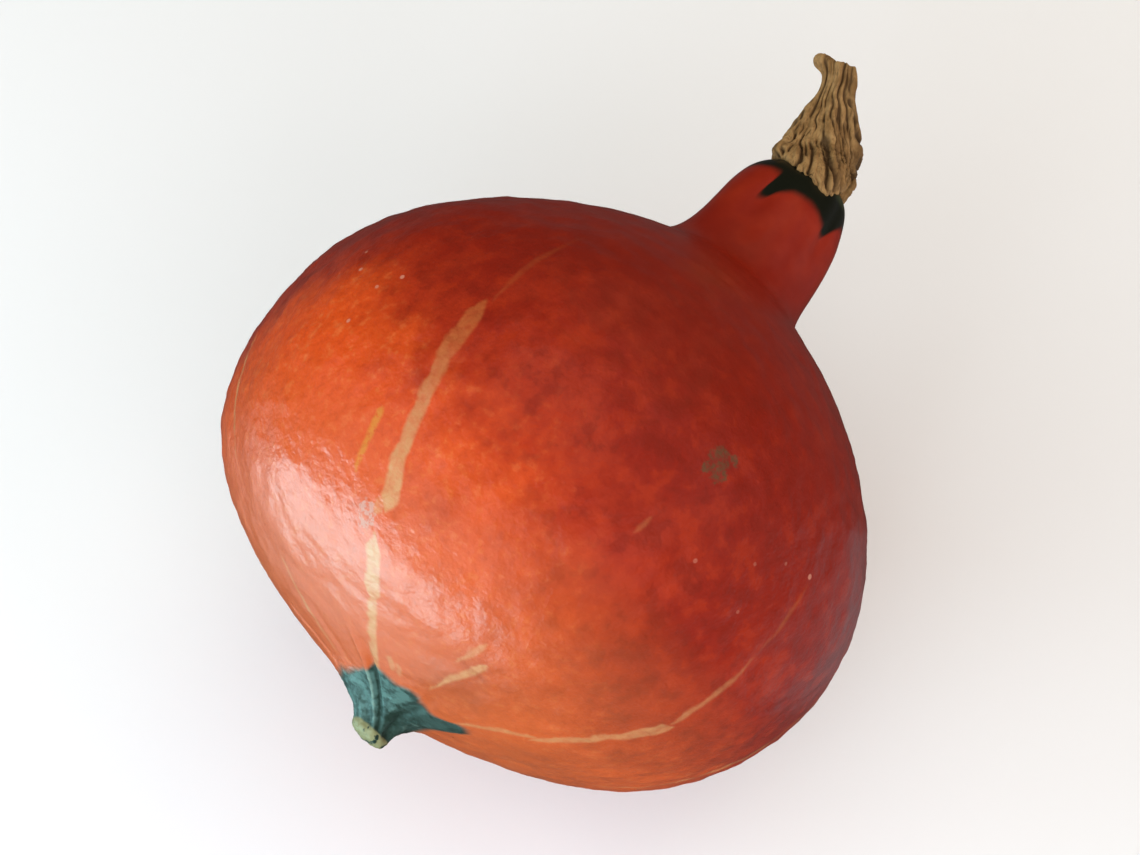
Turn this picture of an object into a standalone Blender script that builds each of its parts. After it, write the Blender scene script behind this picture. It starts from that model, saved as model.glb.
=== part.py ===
"""Kabocha squash, red and onion-shaped, lying on its side on a flat surface.

Two pieces: the fruit, which grew as one body from its blossom scar to its neck,
and the dry corky stem that sits on the end of the neck.

Frame: metres, +Z up. The origin is the middle of the small flat spot that the
fruit lies on. +X runs level from the blossom end towards the stem, and the
fruit's own axis rises from it by AXIS_RISE.

Each piece is first shaped upright about its own Z axis, blossom end down, with
the widest belt at height 0. Longitude 0 is the side that comes to lie on the
surface, 90 degrees is the side towards +Y, and 180 degrees is the top.
"""

import math
import random

import bmesh
import bpy
import numpy as np
from mathutils import Euler, Matrix, Vector

MM = 0.001
UPRIGHT = Vector((0.0, 0.0, 1.0))

# How the fruit lies
AXIS_RISE = math.radians(10.0)
FLAT_SPOT_DEPTH = 1.5 * MM

# Fruit outline, from the blossom scar to the seat of the stem, in millimetres:
# height above the belt, radius, and how far the ring lies off towards BELLY_SIDE
BELLY_SIDE = math.radians(108.0)
FRUIT_OUTLINE = (
    (-78.8, 0.0, 0.8),
    (-78.5, 3.2, 1.0),
    (-77.5, 5.0, 1.6),
    (-75.0, 6.0, 2.6),
    (-72.3, 8.1, 4.0),
    (-69.8, 11.5, 5.4),
    (-67.5, 17.0, 6.5),
    (-65.0, 27.6, 7.2),
    (-59.5, 44.2, 7.7),
    (-48.5, 65.9, 7.5),
    (-28.5, 82.8, 5.9),
    (0.0, 89.9, 3.4),
    (27.0, 85.0, 3.1),
    (47.0, 71.1, 2.3),
    (61.5, 55.0, 2.4),
    (70.5, 41.6, 2.8),
    (76.5, 31.0, 2.8),
    (80.5, 24.4, 2.5),
    (86.5, 21.0, 1.9),
    (96.0, 19.3, 1.4),
    (106.0, 18.3, 1.1),
    (114.2, 16.5, 0.5),
    (119.3, 13.2, 0.0),
    (121.6, 8.0, 0.0),
    (122.3, 0.0, 0.0),
)
FRUIT_SIDES = 80
RINGS_PER_STATION = 2

# Shallow ribs along the belly, which fade out towards both ends
RIBS = 10
RIB_HEIGHT = 0.006
RIBS_FULL_BELOW = 55.0 * MM
RIBS_GONE_BY = 75.0 * MM

# Lobes of the neck, which fade out before its round end, where the stem sits
NECK_LOBES = 5
NECK_LOBE_HEIGHT = 0.05
NECK_LOBE_PHASE = 0.6
NECK_LOBES_RISE = (80.0 * MM, 95.0 * MM)
NECK_LOBES_FADE = (103.0 * MM, 114.0 * MM)

# Ridges of the blossom nub
NUB_RIDGES = 5
NUB_RIDGE_HEIGHT = 0.07
NUB_RIDGES_RISE = (-78.0 * MM, -75.0 * MM)
NUB_RIDGES_FADE = (-72.0 * MM, -66.0 * MM)

# Broad dents and swellings of the skin, which stay off the nub and the neck
LUMP_COUNT = 30
LUMP_HEIGHT = 0.55 * MM
LUMP_SPREAD = 13.0 * MM
LUMP_SEED = 11
LUMPS_RISE = (20.0 * MM, 45.0 * MM)

# The neck bends a little towards BELLY_SIDE
NECK_BEND = math.radians(10.0)
NECK_BEND_SPAN = (84.0 * MM, 118.0 * MM)
NECK_BEND_STEPS = 12

# Stem outline, in millimetres: length along its own line, mean radius, and how
# far the ring lies off that line on the side away from BELLY_SIDE
STEM_OUTLINE = (
    (0.0, 9.9, 0.9),
    (3.6, 11.1, 1.2),
    (8.0, 10.0, 1.8),
    (12.5, 8.4, 1.8),
    (17.5, 6.7, 1.5),
    (22.0, 5.1, 1.3),
    (25.8, 4.0, 1.3),
    (29.3, 4.1, 1.0),
    (32.6, 4.3, 0.6),
)
STEM_SIDES = 50
STEM_SAMPLES = 3
STEM_LEAN = math.radians(20.0)
STEM_LEAN_SIDE = math.radians(156.0)
STEM_LENGTH = STEM_OUTLINE[-1][0] * MM

# The stem's foot drapes over the round end of the neck, a thin gap above it
STEM_DRAPE = 10.0 * MM
STEM_GAP = 0.4 * MM
STEM_SEAT_START = 108.0 * MM
FOOT_SHARES = (0.35, 0.7)

# The stem's ridges, each with two smaller ones, turn a little with its length
STEM_RIDGES = 5
STEM_RIDGE_HEIGHT = 0.13
STEM_RIDGE_DETAIL = 0.35
STEM_DETAIL_PHASE = 0.8
STEM_TWIST = math.radians(30.0)

# The stem's broken tip is dished and hooks to one side
HOOK_SIDE = math.radians(110.0)
HOOK_REACH = 1.7 * MM
HOOK_DEPTH = 3.5 * MM
HOOK_SPREAD = 0.5
DISH_SHARE = 0.45
DISH_RIM_DEPTH = 0.8 * MM
DISH_DEPTH = 1.2 * MM


def clear_scene():
    for leftover in list(bpy.data.objects):
        bpy.data.objects.remove(leftover, do_unlink=True)


def plain_material(name, colour, roughness):
    material = bpy.data.materials.new(name)
    material.use_nodes = True
    shader = material.node_tree.nodes["Principled BSDF"]
    shader.inputs["Base Color"].default_value = (*colour, 1.0)
    shader.inputs["Roughness"].default_value = roughness
    shader.inputs["Metallic"].default_value = 0.0
    return material


def smooth_step(value, low, high):
    """0 below low, 1 above high, with a smooth rise between them."""
    share = min(max((value - low) / (high - low), 0.0), 1.0)
    return share * share * (3.0 - 2.0 * share)


def sideways(longitude):
    """The level direction that points towards this longitude."""
    return Vector((math.cos(longitude), math.sin(longitude), 0.0))


def spline_through(stations, samples):
    """Points of a natural cubic spline through the stations, with equally many between each two."""
    points = np.array(stations, float)
    chords = np.linalg.norm(np.diff(points[:, :2], axis=0), axis=1)
    knots = np.concatenate([[0.0], np.cumsum(np.sqrt(chords))])
    steps = np.diff(knots)
    count = len(points)
    matrix = np.eye(count)
    slopes = np.diff(points, axis=0) / steps[:, None]
    right = np.zeros_like(points)
    for i in range(1, count - 1):
        matrix[i, i - 1 : i + 2] = steps[i - 1], 2.0 * (steps[i - 1] + steps[i]), steps[i]
        right[i] = 6.0 * (slopes[i] - slopes[i - 1])
    bends = np.linalg.solve(matrix, right)
    curve = []
    for i in range(count - 1):
        for k in range(samples):
            t = steps[i] * k / samples
            cubic = (bends[i + 1] - bends[i]) / (6.0 * steps[i])
            linear = slopes[i] - steps[i] * (2.0 * bends[i] + bends[i + 1]) / 6.0
            curve.append(points[i] + t * (linear + t * (bends[i] / 2.0 + t * cubic)))
    curve.append(points[-1])
    return (np.array(curve) * MM).tolist()


def skin_lumps():
    """Directions and heights of the broad dents and swellings."""
    draw = random.Random(LUMP_SEED)
    lumps = []
    for _ in range(LUMP_COUNT):
        way = Vector([draw.gauss(0.0, 1.0) for _ in range(3)]).normalized()
        lumps.append((way, draw.uniform(-1.0, 1.0) * LUMP_HEIGHT))
    return lumps


def lobing(height, longitude):
    """Share by which the radius grows at a rib, a neck lobe or a ridge of the nub."""
    belly = 1.0 - smooth_step(abs(height), RIBS_FULL_BELOW, RIBS_GONE_BY)
    share = belly * RIB_HEIGHT * math.cos(RIBS * longitude)
    neck = smooth_step(height, *NECK_LOBES_RISE) * (1.0 - smooth_step(height, *NECK_LOBES_FADE))
    share += neck * NECK_LOBE_HEIGHT * math.cos(NECK_LOBES * longitude + NECK_LOBE_PHASE)
    nub = smooth_step(height, *NUB_RIDGES_RISE) * (1.0 - smooth_step(height, *NUB_RIDGES_FADE))
    return share + nub * NUB_RIDGE_HEIGHT * math.cos(NUB_RIDGES * longitude)


def neck_turn(height):
    """Where the fruit's own line stands at this height, and how it is turned: upright below the neck."""
    start, end = NECK_BEND_SPAN
    run = max(height - start, 0.0) / NECK_BEND_STEPS
    middle = UPRIGHT * min(height, start)
    tilt = 0.0
    for k in range(NECK_BEND_STEPS):
        tilt = NECK_BEND * smooth_step(start + run * (k + 0.5), start, end)
        middle += run * (UPRIGHT * math.cos(tilt) + sideways(BELLY_SIDE) * math.sin(tilt))
    hinge = UPRIGHT.cross(sideways(BELLY_SIDE))
    return Matrix.Translation(middle) @ Matrix.Rotation(tilt, 4, hinge)


def fruit_point(station, longitude, lumps):
    height, radius, shift = station
    ray = sideways(longitude) * radius * (1.0 + lobing(height, longitude)) + UPRIGHT * height
    swell = sum(
        lift * math.exp(-(((ray - way * ray.length).length / LUMP_SPREAD) ** 2))
        for way, lift in lumps
    )
    point = ray + ray.normalized() * swell * smooth_step(radius, *LUMPS_RISE)
    point += sideways(BELLY_SIDE) * shift - UPRIGHT * height
    return neck_turn(height) @ point


def ring_mesh(name, rings):
    """A closed skin over a stack of rings. The first and last items are single points."""
    shape = bmesh.new()
    first = shape.verts.new(rings[0])
    last = shape.verts.new(rings[-1])
    loops = [[shape.verts.new(point) for point in ring] for ring in rings[1:-1]]
    sides = len(loops[0])
    for k in range(sides):
        after = (k + 1) % sides
        shape.faces.new((first, loops[0][after], loops[0][k]))
        shape.faces.new((last, loops[-1][k], loops[-1][after]))
        for lower, upper in zip(loops, loops[1:]):
            shape.faces.new((lower[k], lower[after], upper[after], upper[k]))
    mesh = bpy.data.meshes.new(name)
    bmesh.ops.recalc_face_normals(shape, faces=shape.faces)
    shape.to_mesh(mesh)
    shape.free()
    return mesh


def fruit_mesh(outline):
    lumps = skin_lumps()
    rings = [fruit_point(outline[0], 0.0, lumps)]
    for station in outline[1:-1]:
        rings.append([fruit_point(station, math.tau * k / FRUIT_SIDES, lumps) for k in range(FRUIT_SIDES)])
    rings.append(fruit_point(outline[-1], 0.0, lumps))
    return ring_mesh("fruit", rings)


def laid_down():
    """Turns an upright piece so that it lies as the fruit does."""
    return Euler((0.0, math.pi / 2.0 - AXIS_RISE, 0.0))


def cut_flat_spot(mesh):
    """Slices the flat spot off the side that the fruit lies on, and returns where the fruit then stands."""
    turn = laid_down().to_matrix()
    level = min((turn @ vertex.co).z for vertex in mesh.vertices) + FLAT_SPOT_DEPTH
    down = turn.transposed() @ -UPRIGHT
    shape = bmesh.new()
    shape.from_mesh(mesh)
    everything = list(shape.verts) + list(shape.edges) + list(shape.faces)
    bmesh.ops.bisect_plane(shape, geom=everything, plane_co=-down * level, plane_no=down, clear_outer=True)
    rim = [edge for edge in shape.edges if edge.is_boundary]
    bmesh.ops.contextual_create(shape, geom=rim)
    bmesh.ops.recalc_face_normals(shape, faces=shape.faces)
    rim_points = [turn @ vertex.co for edge in rim for vertex in edge.verts]
    middle = sum(rim_points, Vector()) / len(rim_points)
    shape.to_mesh(mesh)
    shape.free()
    return Vector((-middle.x, -middle.y, -level))


def stem_ridging(along, longitude):
    """Share by which the stem's radius grows at its ridges."""
    turned = longitude + STEM_TWIST * along / STEM_LENGTH
    ridge = 1.0 - 2.0 * abs(math.sin(STEM_RIDGES * turned / 2.0))
    detail = math.cos(2.0 * STEM_RIDGES * turned + STEM_DETAIL_PHASE)
    return STEM_RIDGE_HEIGHT * (ridge + STEM_RIDGE_DETAIL * detail)


def stem_rings(outline, seat):
    """Rings of the stem above the top of the neck, whose lowest ones drape over the neck's round end."""
    foot = UPRIGHT * STEM_GAP
    lean = sideways(STEM_LEAN_SIDE)
    side = UPRIGHT.cross(lean)
    up = UPRIGHT * math.cos(STEM_LEAN) + lean * math.sin(STEM_LEAN)
    around = [math.tau * k / STEM_SIDES for k in range(STEM_SIDES)]
    heights, reaches, _ = zip(*reversed(seat))

    def drop(point):
        """How far the neck's round end lies below its top under this point, as a negative height."""
        return float(np.interp(math.hypot(point.x, point.y), reaches, heights)) - heights[0]

    rings = [foot]
    for share in FOOT_SHARES:
        _, radius, shift = outline[0]
        ring = []
        for longitude in around:
            point = sideways(longitude) * radius * (1.0 + stem_ridging(0.0, longitude))
            point = share * (point - sideways(BELLY_SIDE) * shift)
            ring.append(foot + point + UPRIGHT * drop(point))
        rings.append(ring)
    for along, radius, shift in outline:
        straight = smooth_step(along, 0.0, STEM_DRAPE)
        tilt = STEM_LEAN * straight
        across = lean * math.cos(tilt) - UPRIGHT * math.sin(tilt)
        hook = HOOK_REACH * smooth_step(along, STEM_LENGTH - HOOK_DEPTH, STEM_LENGTH)
        ring = []
        for longitude in around:
            off_hook = math.remainder(longitude - HOOK_SIDE, math.tau)
            reach = radius * (1.0 + stem_ridging(along, longitude))
            reach += hook * math.exp(-((off_hook / HOOK_SPREAD) ** 2))
            turned = longitude - STEM_LEAN_SIDE
            point = foot + up * along - sideways(BELLY_SIDE) * shift
            point += reach * (across * math.cos(turned) + side * math.sin(turned))
            ring.append(point + UPRIGHT * drop(point) * (1.0 - straight))
        rings.append(ring)
    end = sum(rings[-1], Vector()) / STEM_SIDES
    rings.append([point.lerp(end, DISH_SHARE) - up * DISH_RIM_DEPTH for point in rings[-1]])
    rings.append(end - up * DISH_DEPTH)
    return rings


def place(mesh, name, material, stand):
    piece = bpy.data.objects.new(name, mesh)
    piece.rotation_euler = laid_down()
    piece.location = stand
    mesh.materials.append(material)
    mesh.shade_smooth()
    bpy.context.scene.collection.objects.link(piece)


def build():
    clear_scene()
    outline = spline_through(FRUIT_OUTLINE, RINGS_PER_STATION)
    fruit = fruit_mesh(outline)
    stand = cut_flat_spot(fruit)
    seat = [station for station in outline if station[0] > STEM_SEAT_START]
    stem = ring_mesh("stem", stem_rings(spline_through(STEM_OUTLINE, STEM_SAMPLES), seat))
    stem.transform(neck_turn(outline[-1][0]))
    place(fruit, "fruit", plain_material("fruit_skin", (0.62, 0.09, 0.02), 0.35), stand)
    place(stem, "stem", plain_material("stem_cork", (0.30, 0.20, 0.10), 0.85), stand)


build()
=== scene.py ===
"""Kabocha squash, red and onion-shaped, lying on a pale table in soft studio light.

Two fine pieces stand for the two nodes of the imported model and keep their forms:
the rind, one closed skin from the blossom scar to the end of the neck, and the
dry corky stem.

Places on the rind are given as on a globe, in the fruit's own upright frame:
height in millimetres above its widest belt, towards the stem, and longitude in
degrees. Longitude 0 is the side that lies on the table, 90 degrees is the side
towards +Y, and 180 degrees is the top.
"""

import math

import bpy
import numpy as np
from mathutils import Euler, Matrix, Vector, noise


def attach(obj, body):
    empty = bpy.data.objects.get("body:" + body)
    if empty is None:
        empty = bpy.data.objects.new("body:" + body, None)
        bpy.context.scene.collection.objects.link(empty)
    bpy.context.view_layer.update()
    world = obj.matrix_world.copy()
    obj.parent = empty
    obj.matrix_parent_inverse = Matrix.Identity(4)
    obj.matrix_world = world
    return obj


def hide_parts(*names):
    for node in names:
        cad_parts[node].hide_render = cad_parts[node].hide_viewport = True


MM = 0.001
FULL_TURN = 360.0
HALF_TURN = 180.0

# How the fruit lies, and where its own line crosses its widest belt
AXIS_RISE = math.radians(10.0)
BELT_CENTRE = (-6.5 * MM, -6.4 * MM, 86.6 * MM)

# The stem's own line, from the middle of its foot to the middle of its tip
STEM_FOOT = Vector((113.8, -2.8, 109.0)) * MM
STEM_TIP = Vector((140.2, 6.7, 125.7)) * MM

# Fineness of the meshes: how close points are welded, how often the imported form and
# the stem are subdivided, and the size of the rind's faces. Each row of
# RIND_FINE_ENDS halves the faces below the first height, at the nub, and above the
# second, at the neck, in millimetres
WELD = 0.01 * MM
FORM_LEVELS = 2
RIND_VOXEL = 1.44 * MM
RIND_FINE_ENDS = ((-63.0, 94.0), (-67.5, math.inf))
STEM_LEVELS = 3

# Random relief of the rind: the size of its swells, and how high they rise
RIND_RELIEF = (
    (14.0 * MM, 1.3 * MM),
    (6.0 * MM, 0.8 * MM),
    (2.6 * MM, 0.4 * MM),
)

# Middle of the blossom nub, across the fruit's own line, in millimetres, and its
# creases: longitude round that middle, half width in millimetres, and height as a
# share of NUB_CREASE_DEPTH, below 0 for a groove
NUB_MIDDLE = (-2.1, 6.6)
NUB_CREASE_DEPTH = 0.7 * MM
NUB_CREASES = (
    (175.0, 1.1, 1.0), (181.5, 1.0, -1.4), (201.0, 2.2, 0.3), (222.0, 1.8, -0.7),
    (246.0, 2.0, 0.4), (150.0, 1.6, -0.4), (112.0, 1.4, -0.7), (54.0, 1.8, -0.8),
    (354.0, 1.8, -0.8), (294.0, 1.6, -0.9),
)

# The nub leans: height, and how far its middle lies off towards NUB_LEAN_SIDE, in
# millimetres. Its creases turn by this many degrees for each millimetre of height
NUB_LEAN_SIDE = math.radians(108.0)
NUB_LEAN = ((-78.5, 1.0), (-75.0, 2.6), (-72.3, 4.0), (-69.8, 5.4), (-67.5, 6.5), (-65.0, 7.2))
NUB_CREASE_TURN = 2.8

# Height of the blossom scar's edge, in millimetres, and how rough the scar is
SCAR_EDGE = -75.6
SCAR_ROUGHNESS = 0.3 * MM

# Longitudes of the neck's furrows, their half width in degrees, and their depth
NECK_FURROWS = (26.0, 101.0, 168.5, 238.0, 320.0)
NECK_FURROW_WIDTH = 8.0
NECK_FURROW_DEPTH = 0.5 * MM

# Furrows and strands of the stem: how many, how far they turn from foot to tip in
# degrees, and the seed of the random draws
STEM_FURROWS = 14
STEM_STRANDS = 19
STEM_TURN = 40.0
STEM_SEED = 12

# Heights of the stem's relief, in millimetres: its furrows and fibres, the toes of
# its foot, its bulge, its hook at the tip, the swell on the other side, and how far
# its broken tip is uneven
STEM_FURROW_DEPTH = 1.3
STEM_FIBRE_HEIGHT = 0.5
STEM_TOE_HEIGHT = 0.4
STEM_BULGE = 1.8
STEM_HOOK = 1.4
STEM_SWELL = 1.5
STEM_TIP_REACH = 0.9
STEM_TIP_ROUGHNESS = 0.6

# Sides of the stem, in degrees round its line: where it bulges and hooks, where it
# swells below the tip, and where its foot reaches furthest over the neck, how far
# round that goes, and how far it reaches
STEM_BULGE_SIDE = 99.0
STEM_BULGE_SPREAD = 48.0
STEM_SWELL_SIDE = 279.0
STEM_SWELL_SPREAD = 45.0
FOOT_SIDE = 192.0
FOOT_SPREAD = 48.0
FOOT_REACH = 7.6 * MM

# Pale streaks on the rind. Each row is the height and longitude of its end
# towards the stem, those of its end towards the blossom, its half width in
# millimetres, the share of its length that tapers at each end, and its strength
STREAKS = (
    (48.0, 168.0, 10.0, 169.2, 0.8, 0.6, 0.3, 0.35),
    (13.0, 168.2, -15.0, 169.6, 2.5, 0.25, 0.5, 0.9),
    (-3.0, 169.2, -34.0, 172.2, 1.8, 0.15, 0.1, 0.9),
    (-16.0, 169.7, -42.6, 173.8, 2.8, 0.9, 0.16, 0.95),
    (-38.4, 172.6, -44.0, 171.3, 1.6, 0.4, 0.4, 0.5),
    (-45.5, 172.6, -57.5, 174.4, 2.1, 0.35, 0.2, 1.0),
    (-55.5, 174.4, -69.5, 174.2, 1.15, 0.1, 0.3, 0.95),
    (-14.0, 119.0, -48.0, 123.6, 0.9, 0.4, 0.4, 0.9),
    (-58.0, 134.5, -68.0, 136.3, 0.6, 0.4, 0.3, 0.8),
    (-52.6, 208.6, -64.3, 202.8, 1.2, 0.12, 0.75, 0.85),
    (-49.4, 204.6, -56.8, 202.1, 1.0, 0.3, 0.6, 0.6),
    (-62.6, 182.8, -64.6, 184.8, 0.9, 0.3, 0.3, 0.6),
    (-62.8, 186.6, -64.6, 188.6, 0.9, 0.3, 0.3, 0.6),
    (-34.0, 246.2, -48.0, 243.0, 1.7, 0.2, 0.4, 0.65),
    (-41.0, 243.7, -57.7, 240.9, 1.3, 0.4, 0.2, 0.65),
    (-54.5, 241.6, -65.0, 227.0, 0.95, 0.3, 0.4, 0.65),
    (-9.0, 242.2, -36.0, 245.3, 0.8, 0.4, 0.2, 0.5),
    (13.0, 240.6, -11.0, 242.3, 0.6, 0.5, 0.5, 0.4),
    (-6.0, 209.8, -12.6, 208.8, 0.8, 0.4, 0.4, 0.4),
    (24.0, 278.5, -61.0, 282.0, 1.4, 0.5, 0.6, 0.7),
    (-24.0, 314.0, -63.0, 316.5, 1.1, 0.3, 0.5, 0.8),
    (-6.0, 350.0, -58.0, 352.5, 1.8, 0.4, 0.5, 0.9),
    (-30.0, 27.5, -63.0, 28.5, 1.2, 0.5, 0.4, 0.8),
    (30.0, 62.0, -52.0, 65.5, 1.9, 0.4, 0.3, 0.9),
    (-38.0, 98.0, -65.0, 99.5, 0.9, 0.4, 0.5, 0.75),
)

# Small pale specks, each with its height, longitude, half width in millimetres and
# strength
SPECKS = (
    (10.5, 140.2, 0.5, 0.6),
    (4.9, 143.2, 0.6, 0.75),
    (7.1, 152.4, 0.6, 0.75),
    (1.8, 149.9, 0.55, 0.6),
    (-9.1, 149.4, 0.6, 0.7),
    (12.6, 240.3, 0.7, 0.7),
    (9.7, 234.1, 0.5, 0.25),
    (3.4, 228.8, 0.5, 0.25),
    (-6.8, 219.8, 0.6, 0.3),
    (-7.3, 232.6, 0.5, 0.25),
    (-12.0, 52.0, 0.7, 0.5),
    (-4.0, 70.0, 0.5, 0.6),
    (20.0, 85.0, 0.6, 0.6),
    (-22.0, 300.0, 0.7, 0.5),
    (8.0, 325.0, 0.6, 0.6),
)

# The patches of the grey scab and the corky spot on the main streak, each with its
# height, longitude and half width in millimetres, how high their crusts rise, and
# the yellow scratch, given as a streak
SCAB = ((15.2, 212.6, 3.0), (12.4, 213.6, 2.4), (11.2, 211.6, 1.4), (17.6, 214.6, 1.2))
CORKY_SPOT = (-44.2, 169.9, 2.5)
SCAB_CRUST = 0.35 * MM
CORKY_CRUST = 0.45 * MM
SCRATCH = (-22.6, 165.0, -39.4, 165.0, 0.85, 0.12, 0.35, 0.85)

# Patches of riper and of redder skin: height, longitude, half width in millimetres,
# and how much they add to the ripening
SKIN_PATCHES = (
    (-24.0, 142.0, 22.0, 0.25),
    (-26.0, 146.0, 40.0, 0.3),
    (-5.0, 241.0, 34.0, -0.2),
    (-3.0, 240.0, 58.0, -0.27),
    (-15.0, 182.0, 17.0, 0.16),
)

# Where the green of the nub ends: longitude round the nub's own middle, distance
# from that middle in millimetres, and the most that the distance can be
NUB_GREEN_EDGE = (
    (0.0, 15.0), (36.0, 11.0), (72.0, 13.0), (108.0, 11.0), (138.0, 13.2),
    (154.0, 13.8), (171.0, 16.8), (183.0, 21.3), (190.0, 25.2), (203.0, 25.4),
    (215.0, 28.0), (224.0, 25.4), (233.0, 25.4), (239.0, 29.5), (244.5, 33.5),
    (253.0, 26.7), (264.0, 19.0), (290.0, 15.0), (325.0, 12.0), (360.0, 15.0),
)
NUB_EDGE_REACH = 40.0

# Where the dark green ring of the neck ends: longitude and height. Its tongues
# run down between the lobes, and slant by NECK_SLANT degrees for each millimetre
# below NECK_SLANT_HEIGHT. Its heights go from NECK_EDGE_BASE up, by NECK_EDGE_REACH
# at most
NECK_RING_EDGE = (
    (0.0, 113.0), (14.0, 112.0), (26.0, 105.5), (38.0, 112.0), (70.0, 111.0),
    (90.0, 109.5), (101.0, 103.5), (112.0, 109.5), (127.0, 111.4), (150.0, 112.4),
    (162.0, 112.0), (167.0, 107.5), (172.0, 102.4), (178.0, 105.4), (184.0, 107.4),
    (192.0, 108.9), (202.0, 109.3), (212.0, 109.0), (222.0, 108.4), (232.0, 107.3),
    (240.0, 105.4), (245.0, 107.8), (250.0, 111.0), (260.0, 113.4), (290.0, 114.0),
    (308.0, 113.0), (320.0, 107.0), (332.0, 113.5), (360.0, 113.0),
)
NECK_SLANT = 0.8
NECK_SLANT_HEIGHT = 112.0
NECK_EDGE_BASE = 95.0
NECK_EDGE_REACH = 20.0

# Camera, as the photograph was taken
CAMERA_AIM = Vector((12.2, 2.8, 97.4)) * MM
CAMERA_AZIMUTH = math.radians(-53.5)
CAMERA_ELEVATION = math.radians(58.7)
CAMERA_ROLL = math.radians(1.6)
CAMERA_DISTANCE = 620.0 * MM
CAMERA_FOCAL = 72.5


def tone(red, green, blue):
    """A colour as a photograph shows it, from 0 to 255, as the light that a surface sends back."""
    shares = [value / 255.0 for value in (red, green, blue)]
    return tuple(s / 12.92 if s <= 0.04045 else ((s + 0.055) / 1.055) ** 2.4 for s in shares) + (1.0,)


# Modelling by hand


def select_only(piece):
    bpy.ops.object.select_all(action="DESELECT")
    piece.select_set(True)
    bpy.context.view_layer.objects.active = piece


def apply_modifier(piece, kind, **settings):
    """Adds one modifier to the piece and applies it."""
    modifier = piece.modifiers.new(kind.lower(), kind)
    for name, value in settings.items():
        setattr(modifier, name, value)
    select_only(piece)
    bpy.ops.object.modifier_apply(modifier=modifier.name)


def merged_copy(node, name):
    """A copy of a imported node, its loose triangles merged into one closed skin of four-sided faces."""
    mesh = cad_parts[node].data.copy()
    mesh.name = name
    mesh.materials.clear()
    piece = bpy.data.objects.new(name, mesh)
    bpy.context.scene.collection.objects.link(piece)
    select_only(piece)
    bpy.ops.mesh.customdata_custom_splitnormals_clear()
    bpy.ops.object.mode_set(mode="EDIT")
    bpy.ops.mesh.select_all(action="SELECT")
    bpy.ops.mesh.remove_doubles(threshold=WELD)
    bpy.ops.mesh.tris_convert_to_quads(face_threshold=math.radians(40), shape_threshold=math.radians(60))
    bpy.ops.object.mode_set(mode="OBJECT")
    return piece


def points_of(mesh):
    values = np.empty(len(mesh.vertices) * 3)
    mesh.vertices.foreach_get("co", values)
    return values.reshape(-1, 3)


def normals_of(mesh):
    values = np.empty(len(mesh.vertices) * 3)
    mesh.vertices.foreach_get("normal", values)
    return values.reshape(-1, 3)


def upright_places(points):
    """Height, longitude and distance from the fruit's own line, in millimetres and degrees."""
    turn = np.array(Euler((0.0, math.pi / 2.0 - AXIS_RISE, 0.0)).to_matrix())
    local = (points - np.array(BELT_CENTRE)) @ turn / MM
    longitude = np.degrees(np.arctan2(local[:, 1], local[:, 0])) % FULL_TURN
    return local[:, 2], longitude, np.hypot(local[:, 0], local[:, 1])


def smooth_step(values, low, high):
    """0 below low, 1 above high, with a smooth rise between them. It falls where low lies above high."""
    share = np.clip((values - low) / (high - low), 0.0, 1.0)
    return share * share * (3.0 - 2.0 * share)


def hump(gap, width):
    """1 where the gap is 0, and down to nothing past twice the width."""
    return np.exp(-((gap / width) ** 2))


def split_where(piece, chosen):
    """Halves the faces whose vertices are all chosen."""
    select_only(piece)
    bpy.ops.object.mode_set(mode="EDIT")
    bpy.ops.mesh.select_all(action="DESELECT")
    bpy.ops.object.mode_set(mode="OBJECT")
    mesh = piece.data
    mesh.vertices.foreach_set("select", chosen)
    for edge in mesh.edges:
        edge.select = bool(chosen[edge.vertices[0]] and chosen[edge.vertices[1]])
    for face in mesh.polygons:
        face.select = all(chosen[index] for index in face.vertices)
    bpy.ops.object.mode_set(mode="EDIT")
    bpy.ops.mesh.subdivide(number_cuts=1)
    bpy.ops.object.mode_set(mode="OBJECT")


def lift(piece, lifts):
    """Moves each vertex out along its normal by its own lift, and none of them below the table."""
    mesh = piece.data
    points = points_of(mesh) + normals_of(mesh) * lifts[:, None]
    points[:, 2] = np.maximum(points[:, 2], 0.0)
    mesh.vertices.foreach_set("co", points.ravel())
    mesh.update()


def cloud_texture(name, size, depth):
    texture = bpy.data.textures.new(name, "CLOUDS")
    texture.noise_scale = size
    texture.noise_depth = depth
    texture.noise_basis = "ORIGINAL_PERLIN"
    return texture


def weigh(piece, name, weights):
    """A vertex group that holds these weights, rounded to twentieths."""
    group = piece.vertex_groups.new(name=name)
    for step in range(21):
        share = step / 20.0
        members = np.flatnonzero(np.abs(weights - share) <= 0.025)
        if len(members):
            group.add(members.tolist(), share, "REPLACE")
    return group.name


def bump_pattern(points, size, seed, stretch=(1.0, 1.0, 1.0)):
    """Smooth random values from about -1 to 1, whose swells are about this size."""
    shift = Vector((seed * 17.3, seed * 9.1, seed * 4.7))
    scaled = points / (size * np.array(stretch))
    return np.array([noise.noise(Vector(point) + shift) for point in scaled])


def around_gap(longitude, middle):
    """Degrees from the middle, from minus half a turn to half a turn."""
    return (longitude - middle + HALF_TURN) % FULL_TURN - HALF_TURN


# The rind


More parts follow.
